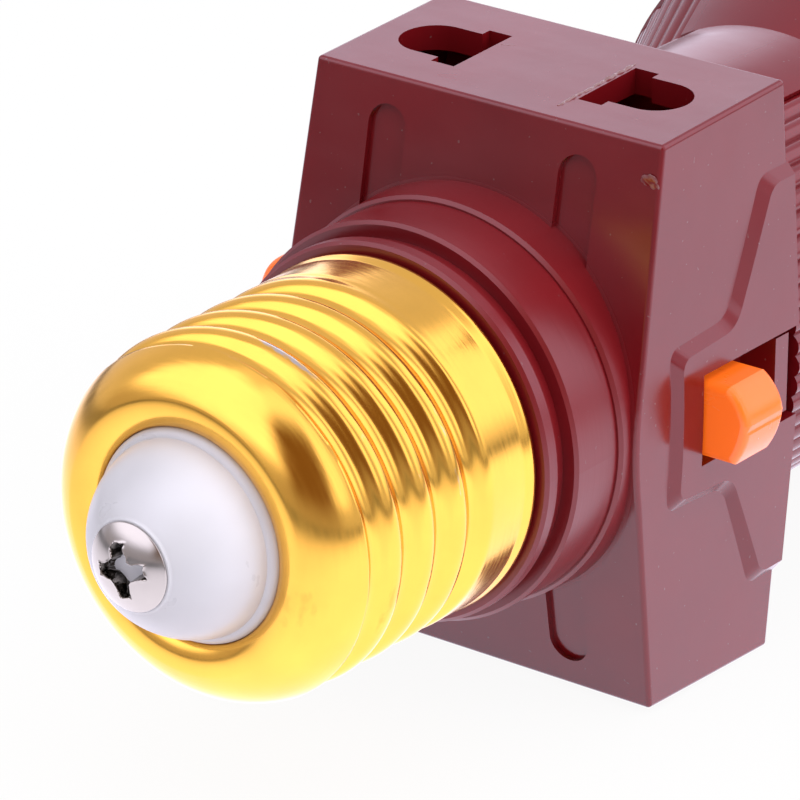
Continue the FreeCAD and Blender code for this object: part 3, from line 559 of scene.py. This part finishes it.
class AddShell(Operator):
    """Brass screw shell: flared rim, rolled thread, domed nose folded to a ring"""
    bl_idname = "holder.add_shell"
    bl_label = "Screw shell"

    def execute(self, context):
        shell = context.scene.holder_shell
        self.shell = shell
        crest = shell.crest
        rim = crest + shell.flare
        fold_y = -FOLD_Y
        dome_middle = (shell.fold + (crest - shell.fold) * shell.fullness,
                       -fold_y + (fold_y - shell.dome) * (1 - shell.fullness))
        edge = shell.sheet * 0.4
        profile = [(rim - edge, 0.0)]
        profile += arc_points((rim - edge, 0.0), (rim - edge * 0.3, -edge * 0.3), (rim, -edge), 4)
        profile += line_points((rim, -edge), (rim, -shell.sheet), 0.0002)
        profile += line_points((rim, -shell.sheet), (crest, -shell.sheet * 2.75), 0.00012)
        profile += line_points((crest, -shell.sheet * 2.75), (crest, -shell.dome), 0.00011)
        profile += arc_points((crest, -shell.dome), dome_middle, (shell.fold, -fold_y), 36)
        lip = ((shell.fold + shell.hole) / 2, -fold_y - 0.00001)
        profile += arc_points((shell.fold, -fold_y), lip, (shell.hole, -shell.ring), 12)
        inner = -shell.ring + shell.sheet
        profile += line_points((shell.hole, -shell.ring), (shell.hole, inner), 0.0004)
        wall = shell.root - shell.sheet
        profile += line_points((shell.hole, inner), (shell.fold, inner), 0.0005)
        profile += line_points((shell.fold, inner), (wall, -shell.dome), 0.0006)
        profile += line_points((wall, -shell.dome), (wall, -shell.skirt), 0.002)
        corner = (crest - shell.sheet, -shell.skirt + shell.sheet)
        profile += line_points((wall, -shell.skirt), corner, 0.001)
        profile += line_points(corner, (corner[0], 0.0), 0.002)
        mesh = turned_mesh("screw_shell_fine", profile, shell.steps, self.roll, closed=True)
        dressed("screw_shell_fine", mesh, HOLDER, "shell_brass", "screw_shell")
        return {"FINISHED"}

    def roll(self, bm):
        """Press the thread into the outer skin."""
        shell = self.shell
        depth = shell.crest - shell.root
        rubbed = bm.verts.layers.float.new("rubbed")
        for vert in bm.verts:
            radius = math.hypot(vert.co.x, vert.co.z)
            share = self.grown(-shell.skirt - vert.co.y) * self.grown(vert.co.y + shell.thread_end)
            if radius < shell.root or share == 0:
                continue
            angle = math.atan2(vert.co.z, vert.co.x)
            turn = FULL * (vert.co.y + shell.valley) / shell.pitch + angle - shell.valley_angle
            pressed = share * self.groove(turn, depth)
            target = min(radius, shell.crest - pressed)
            crown = share ** 3 * max(0.0, 1 - pressed / (depth * 0.12))
            place = Vector((math.cos(angle), math.sin(angle), vert.co.y / shell.pitch * 1.3))
            wear = 0.35 + 2 * noise.noise(place * 2.1) + self.scuff(vert.co.y, angle)
            vert[rubbed] = crown * max(0.0, wear)
            vert.co.x *= target / radius
            vert.co.z *= target / radius

    def groove(self, turn, depth):
        """Depth of the thread, made of tangent arcs, by its phase; 0 is the bottom."""
        quarter = self.shell.pitch / 4
        bend = (quarter ** 2 + depth ** 2 / 4) / depth
        aside = abs((turn / FULL + 0.5) % 1 - 0.5) * 4 * quarter
        if aside < quarter:
            return depth - bend + math.sqrt(bend ** 2 - aside ** 2)
        return bend - math.sqrt(bend ** 2 - (2 * quarter - aside) ** 2)

    def scuff(self, y, angle):
        """The long rub mark on one crest."""
        shell = self.shell
        off = (angle - shell.scuff_angle) / shell.scuff_spread
        away = (y + shell.scuff) / shell.scuff_width
        return 1.2 * math.exp(-off * off - away * away)

    def grown(self, distance):
        """Smooth growth from 0 to 1 over the fade."""
        part = min(1.0, max(0.0, distance / self.shell.fade))
        return part * part * (3 - 2 * part)


class AddTip(Operator):
    """White insulator cone and the centre screw with its worn cross"""
    bl_idname = "holder.add_tip"
    bl_label = "Insulator and screw"

    def execute(self, context):
        self.tip = context.scene.holder_tip
        self.ring = context.scene.holder_shell.ring
        self.insulator()
        self.screw()
        return {"FINISHED"}

    def insulator(self):
        """Cone with a short straight foot and a rounded edge."""
        tip = self.tip
        foot_y = -self.ring
        shoulder = (tip.foot, foot_y + 0.00025)
        edge = (tip.foot - 0.00014, foot_y - 0.00012)
        turn = (tip.foot - 0.0006, foot_y - 0.00045)
        top = (tip.top, CONE_TIP_Y + 0.00012)
        middle = ((turn[0] + top[0]) / 2 + tip.crown, (turn[1] + top[1]) / 2 - tip.crown)
        start = (tip.foot, foot_y + 0.0008)
        profile = [(0, CONE_BACK_Y), (tip.foot, CONE_BACK_Y), start]
        profile += line_points(start, shoulder, 0.0003)
        profile += arc_points(shoulder, edge, turn, 18)
        profile += arc_points(turn, middle, top, 40)
        profile += arc_points(top, (tip.top - 0.00005, CONE_TIP_Y + 0.00003),
                              (tip.top - 0.00015, CONE_TIP_Y), 4)
        profile += [(tip.top * 0.6, CONE_TIP_Y), (0, CONE_TIP_Y)]
        mesh = turned_mesh("base_insulator_fine", profile, 128, smooth=50)
        dressed("base_insulator_fine", mesh, HOLDER, "white_insulator", "base_insulator")

    def screw(self):
        """Domed head with a thin rim, its cross chewed by a driver."""
        tip = self.tip
        seat = CONE_TIP_Y
        rim = seat - tip.rim
        rise = rim - SCREW_APEX_Y
        shoulder = (tip.head * 0.66, rim - rise * 0.6)
        profile = [(0, seat + 0.0003), (tip.head - 0.0001, seat + 0.0003),
                   (tip.head - 0.00004, seat), (tip.head, seat - 0.00005),
                   (tip.head, rim + 0.00003)]
        dome = arc_points((tip.head, rim), shoulder, (0, SCREW_APEX_Y), 90)
        profile += [(max(0.0, r), y) for r, y in dome]
        mesh = turned_mesh("contact_screw_fine", profile, 288, self.press_cross, smooth=50)
        dressed("contact_screw_fine", mesh, HOLDER, "nickel_steel", "contact_screw")

    def press_cross(self, bm):
        """Sink the worn cross into the dome, deeper in the middle, with a torn burr; mark its walls
        for painted shade.
        """
        tip = self.tip
        half = tip.cross / 2
        slope, lip, pitting = 0.00016, 0.00012, 0.00012
        noise.seed_set(CHEW_SEED)
        worn = bm.verts.layers.float.new("worn")
        for vert in bm.verts:
            away = math.hypot(vert.co.x, vert.co.z)
            if vert.co.y > CONE_TIP_Y - tip.rim or away > half * 1.4:
                continue
            spot = Matrix.Rotation(-tip.turn, 3, AXIS) @ vert.co
            torn = noise.noise_vector(vert.co * 1300) * tip.wear
            x, z = abs(spot.x + torn.x), abs(spot.z + torn.z)
            along, across = max(x, z), min(x, z)
            side = tip.arm / 2 * (1.15 - 0.45 * along / half)
            rim = min(side - across, (half - along) * 0.8)
            rim = max(rim, tip.arm * 0.82 - away)
            wall = min(1.0, max(0.0, 0.5 + rim / slope))
            wall = wall * wall * (3 - 2 * wall)
            floor = tip.depth * (1 - 0.5 * (away / half) ** 2)
            rough = noise.noise(vert.co * 2400) * pitting
            burr = math.exp(-(rim / lip) ** 2) * tip.wear * 0.35
            # Marks the recess walls for the painted shade in the screw's material
            vert[worn] = wall * (0.85 + 0.3 * noise.noise(vert.co * 1700))
            vert.co.y += wall * (floor + rough) - burr * (0.6 + noise.noise(vert.co * 3100))


class AddMarks(Operator):
    """Flash left beside the outlets and a rubbed spot near the front edge"""
    bl_idname = "holder.add_marks"
    bl_label = "Moulding marks"

    def execute(self, context):
        marks = context.scene.holder_marks
        self.ribbon("right_burr", self.on_top(marks.burr_start), self.on_top(marks.burr_end),
                    marks.burr_width, marks.burr_height, 26)
        self.ribbon("left_burr", self.on_top(marks.nick_start), self.on_top(marks.nick_end),
                    marks.burr_width * 0.5, marks.burr_height * 0.3, 9)
        self.chip(marks)
        return {"FINISHED"}

    def chip(self, marks):
        """Low crumpled spot on the front face, with a paler rim."""
        half_wide, half_tall, rise = marks.chip_size
        start = Vector((marks.chip_place[0], -0.05, marks.chip_place[1]))
        hit = frame["nodes"]["main_housing"].ray_cast(start, Vector((0, 1, 0)))[1]
        bm = bmesh.new()
        bmesh.ops.create_uvsphere(bm, u_segments=48, v_segments=24, radius=1)
        torn = bm.verts.layers.float.new("torn")
        for vert in bm.verts:
            wrinkle = noise.noise(vert.co * 2.3 + Vector((5, 0, 0)))
            edge = Vector((vert.co.x, 0, vert.co.z)).length
            vert[torn] = max(0.0, min(0.55, 0.2 + wrinkle + 0.35 * (edge > 0.7)))
            vert.co *= 1 + 0.35 * noise.noise(vert.co * 1.4) + 0.25 * wrinkle
        bmesh.ops.scale(bm, verts=bm.verts, vec=(half_wide, rise, half_tall))
        bmesh.ops.translate(bm, verts=bm.verts, vec=hit)
        dressed("edge_chip", mesh_from(bm, "edge_chip"), HOLDER, "maroon_plastic")

    def on_top(self, place):
        """Place on the block's upper face."""
        hit = frame["nodes"]["main_housing"].ray_cast(Vector((*place, 0.04)), Vector((0, 0, -1)))
        return hit[1]

    def ribbon(self, name, start, end, width, height, seed):
        """Low torn ridge along a line: a rod with a ring for each step, its foot in the block."""
        outline = ((-1, -0.4), (-0.8, 0.2), (-0.3, 1), (0.35, 0.85), (0.8, 0.15), (1, -0.4))
        along = (end - start).normalized()
        aside = Vector((-along.y, along.x, 0))
        count = round((end - start).length / 0.00012)
        rings = []
        for i in range(count + 1):
            spot = start.lerp(end, i / count)
            taper = min(1.0, 0.2 + min(i, count - i) / 6)
            half = 1 + 0.7 * noise.noise(spot * 2300 + Vector((0, 0, seed)))
            crown = max(0.25, 0.75 + noise.noise(spot * 3100 + Vector((0, seed, 0))))
            spot += aside * width * 0.5 * noise.noise(spot * 1500)
            rings.append((spot, aside * width / 2 * taper * half, height * taper * crown))
        bm = bmesh.new()
        bmesh.ops.create_cone(bm, cap_ends=True, segments=len(outline), radius1=1, radius2=1,
                              depth=count, matrix=Matrix.Translation((0, 0, count / 2)))
        for i in range(1, count):
            bmesh.ops.bisect_plane(bm, geom=[*bm.verts, *bm.edges, *bm.faces],
                                   plane_co=(0, 0, i), plane_no=(0, 0, 1))
        torn = bm.verts.layers.float.new("torn")
        for vert in bm.verts:
            spot, half, crown = rings[round(vert.co.z)]
            corner = round(math.atan2(vert.co.x, vert.co.y) / FULL * len(outline))
            u, h = outline[corner % len(outline)]
            vert.co = spot + half * u + Vector((0, 0, h * crown))
            vert[torn] = 1.0
        bmesh.ops.recalc_face_normals(bm, faces=bm.faces)
        dressed(name, mesh_from(bm, name), HOLDER, "maroon_plastic")


class DressPacked(Operator):
    """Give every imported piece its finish"""
    bl_idname = "holder.dress_packed"
    bl_label = "Packed pieces"

    def execute(self, context):
        for part in frame["record"]["subparts"]:
            piece = frame["nodes"][part["node"]]
            piece.data.materials.clear()
            piece.data.materials.append(finish(part["material_slot"]))
        return {"FINISHED"}


class AddStage(Operator):
    """Floor, backdrop, lamps and camera"""
    bl_idname = "holder.add_stage"
    bl_label = "Stage"

    def execute(self, context):
        stage = context.scene.holder_stage
        self.floor(stage)
        self.world(stage)
        for lamp in LAMPS:
            self.lamp(*lamp)
        self.camera(context, stage)
        return {"FINISHED"}

    def floor(self, stage):
        """Pale floor that the camera sees as white, with a faint shadow."""
        bm = bmesh.new()
        bmesh.ops.create_grid(bm, x_segments=1, y_segments=1, size=3)
        bmesh.ops.translate(bm, verts=bm.verts, vec=(0, 0, CAD_BOX[0][2]))
        mesh = mesh_from(bm, "floor")
        plane = bpy.data.objects.new("floor", mesh)
        bpy.context.scene.collection.objects.link(plane)
        material, nodes, links, shader = new_material("pale floor")
        shader.inputs["Base Color"].default_value = (0.85, 0.85, 0.86, 1)
        shader.inputs["Roughness"].default_value = 0.7
        output = [node for node in nodes if node.type == "OUTPUT_MATERIAL"][0]
        glow = nodes.new("ShaderNodeEmission")
        rays = nodes.new("ShaderNodeLightPath")
        place = nodes.new("ShaderNodeTexCoord")
        away = nodes.new("ShaderNodeVectorMath")
        away.operation = "DISTANCE"
        away.inputs[1].default_value = stage.table
        links.new(place.outputs["Object"], away.inputs[0])
        far = ramp(nodes, links, away.outputs["Value"], stage.table_edge * 0.3, stage.table_edge,
                   tinted(stage.cast, stage.mirrored, 4), tinted(stage.cast, stage.mirrored * 0.14))
        plain = nodes.new("ShaderNodeMix")
        plain.data_type = "RGBA"
        plain.inputs["A"].default_value = (1, 1, 1, 1)
        links.new(rays.outputs["Is Glossy Ray"], plain.inputs["Factor"])
        links.new(far.outputs["Color"], plain.inputs["B"])
        links.new(plain.outputs["Result"], glow.inputs["Color"])
        seen = calc(nodes, links, "ADD", rays.outputs["Is Camera Ray"],
                    rays.outputs["Is Glossy Ray"])
        seen = calc(nodes, links, "ADD", seen, rays.outputs["Is Transmission Ray"])
        seen.node.use_clamp = True
        share = calc(nodes, links, "MULTIPLY", seen, 1 - stage.shadow)
        mix = nodes.new("ShaderNodeMixShader")
        links.new(share, mix.inputs["Fac"])
        links.new(shader.outputs["BSDF"], mix.inputs[1])
        links.new(glow.outputs["Emission"], mix.inputs[2])
        links.new(mix.outputs["Shader"], output.inputs["Surface"])
        mesh.materials.append(material)

    def world(self, stage):
        """Soft grey surround, white for the camera, and the room that shiny surfaces reflect."""
        world = bpy.data.worlds.new("studio")
        bpy.context.scene.world = world
        world.use_nodes = True
        nodes = world.node_tree.nodes
        links = world.node_tree.links
        nodes.clear()
        output = nodes.new("ShaderNodeOutputWorld")
        soft = nodes.new("ShaderNodeBackground")
        soft.inputs["Color"].default_value = (1, 1, 1, 1)
        soft.inputs["Strength"].default_value = stage.surround
        white = nodes.new("ShaderNodeBackground")
        white.inputs["Color"].default_value = (1, 1, 1, 1)
        white.inputs["Strength"].default_value = 1.0
        mirrored = nodes.new("ShaderNodeBackground")
        mirrored.inputs["Strength"].default_value = stage.mirrored
        way = nodes.new("ShaderNodeTexCoord").outputs["Generated"]
        tone = None
        for patch in PATCHES:
            tone = self.patch(nodes, links, way, tone, stage, *patch)
        links.new(tone, mirrored.inputs["Color"])
        rays = nodes.new("ShaderNodeLightPath")
        glossy = nodes.new("ShaderNodeMixShader")
        links.new(rays.outputs["Is Glossy Ray"], glossy.inputs["Fac"])
        links.new(soft.outputs["Background"], glossy.inputs[1])
        links.new(mirrored.outputs["Background"], glossy.inputs[2])
        seen = calc(nodes, links, "MAXIMUM", rays.outputs["Is Camera Ray"],
                    rays.outputs["Is Transmission Ray"])
        mix = nodes.new("ShaderNodeMixShader")
        links.new(seen, mix.inputs["Fac"])
        links.new(glossy.outputs["Shader"], mix.inputs[1])
        links.new(white.outputs["Background"], mix.inputs[2])
        links.new(mix.outputs["Shader"], output.inputs["Surface"])

    def patch(self, nodes, links, way, under, stage, bearing, height, wide, tall, soft, share):
        """Lay one soft-edged patch of the room over the earlier ones."""
        turn = nodes.new("ShaderNodeVectorRotate")
        turn.rotation_type = "Z_AXIS"
        turn.inputs["Angle"].default_value = math.radians(bearing)
        links.new(way, turn.inputs["Vector"])
        parts = nodes.new("ShaderNodeSeparateXYZ")
        links.new(turn.outputs["Vector"], parts.inputs["Vector"])
        sideways = calc(nodes, links, "ARCTAN2", parts.outputs["X"], parts.outputs["Y"])
        upward = calc(nodes, links, "ARCSINE", parts.outputs["Z"])
        upward = calc(nodes, links, "SUBTRACT", upward, math.radians(height))
        inside = calc(nodes, links, "MULTIPLY", self.within(nodes, links, sideways, wide, soft),
                      self.within(nodes, links, upward, tall, soft))
        layer = nodes.new("ShaderNodeMix")
        layer.data_type = "RGBA"
        layer.inputs["A"].default_value = (*stage.cast, 1)
        if under:
            links.new(under, layer.inputs["A"])
        lit = (tint * part for tint, part in zip(stage.cast, share))
        layer.inputs["B"].default_value = (*lit, 1)
        links.new(inside, layer.inputs["Factor"])
        return layer.outputs["Result"]

    def within(self, nodes, links, angle, half, soft):
        """One where an angle lies within the half width, fading over the soft edge."""
        size = calc(nodes, links, "ABSOLUTE", angle)
        step = nodes.new("ShaderNodeMapRange")
        step.interpolation_type = "SMOOTHSTEP"
        step.inputs["From Min"].default_value = math.radians(half + soft)
        step.inputs["From Max"].default_value = math.radians(half - soft)
        links.new(size, step.inputs["Value"])
        return step.outputs["Result"]

    def lamp(self, name, place, target, width, height, power):
        """Soft rectangular lamp turned to a target."""
        data = bpy.data.lights.new(name, "AREA")
        data.shape = "RECTANGLE"
        data.size = width
        data.size_y = height
        data.energy = power
        lamp = bpy.data.objects.new(name, data)
        bpy.context.scene.collection.objects.link(lamp)
        lamp.visible_glossy = False
        way = Vector(target) - Vector(place)
        turn = way.to_track_quat("-Z", "Y").to_matrix().to_4x4()
        lamp.matrix_world = Matrix.Translation(place) @ turn

    def camera(self, context, stage):
        """Camera at the photograph's viewing angle."""
        data = bpy.data.cameras.new("camera")
        data.sensor_width = 36
        data.lens = stage.lens
        data.clip_start = 0.01
        camera = bpy.data.objects.new("camera", data)
        context.scene.collection.objects.link(camera)
        back = -Vector(stage.look).normalized()
        right = Vector(stage.up).cross(back).normalized()
        top = back.cross(right)
        turn = Matrix((right, top, back)).transposed().to_4x4()
        camera.matrix_world = Matrix.Translation(stage.eye) @ turn
        context.scene.camera = camera
        context.scene.view_settings.view_transform = "Standard"


class HolderPanel(Panel):
    """Lists the pieces in the sidebar"""
    bl_idname = "VIEW3D_PT_lamp_holder"
    bl_label = "Lamp Holder"
    bl_space_type = "VIEW_3D"
    bl_region_type = "UI"
    bl_category = "Lamp Holder"

    def draw(self, context):
        for operator in OPERATORS:
            self.layout.operator(operator.bl_idname)


OPERATORS = (DressPacked, AddShell, AddTip, AddMarks, AddStage)
GROUPS = {"holder_shell": HolderShell, "holder_tip": HolderTip, "holder_marks": HolderMarks,
          "holder_colours": HolderColours, "holder_stage": HolderStage}


def register():
    """Add the classes and their settings."""
    for cls in (*GROUPS.values(), *OPERATORS, HolderPanel):
        bpy.utils.register_class(cls)
    for name, group in GROUPS.items():
        setattr(bpy.types.Scene, name, PointerProperty(type=group))


def unregister():
    """Remove the classes and their settings."""
    for name in GROUPS:
        delattr(bpy.types.Scene, name)
    for cls in reversed((*GROUPS.values(), *OPERATORS, HolderPanel)):
        bpy.utils.unregister_class(cls)


def main():
    """Build everything in order."""
    register()
    bpy.ops.holder.add_stage()
    bpy.ops.holder.dress_packed()
    bpy.ops.holder.add_shell()
    bpy.ops.holder.add_tip()
    bpy.ops.holder.add_marks()


if __name__ == "__main__":
    main()
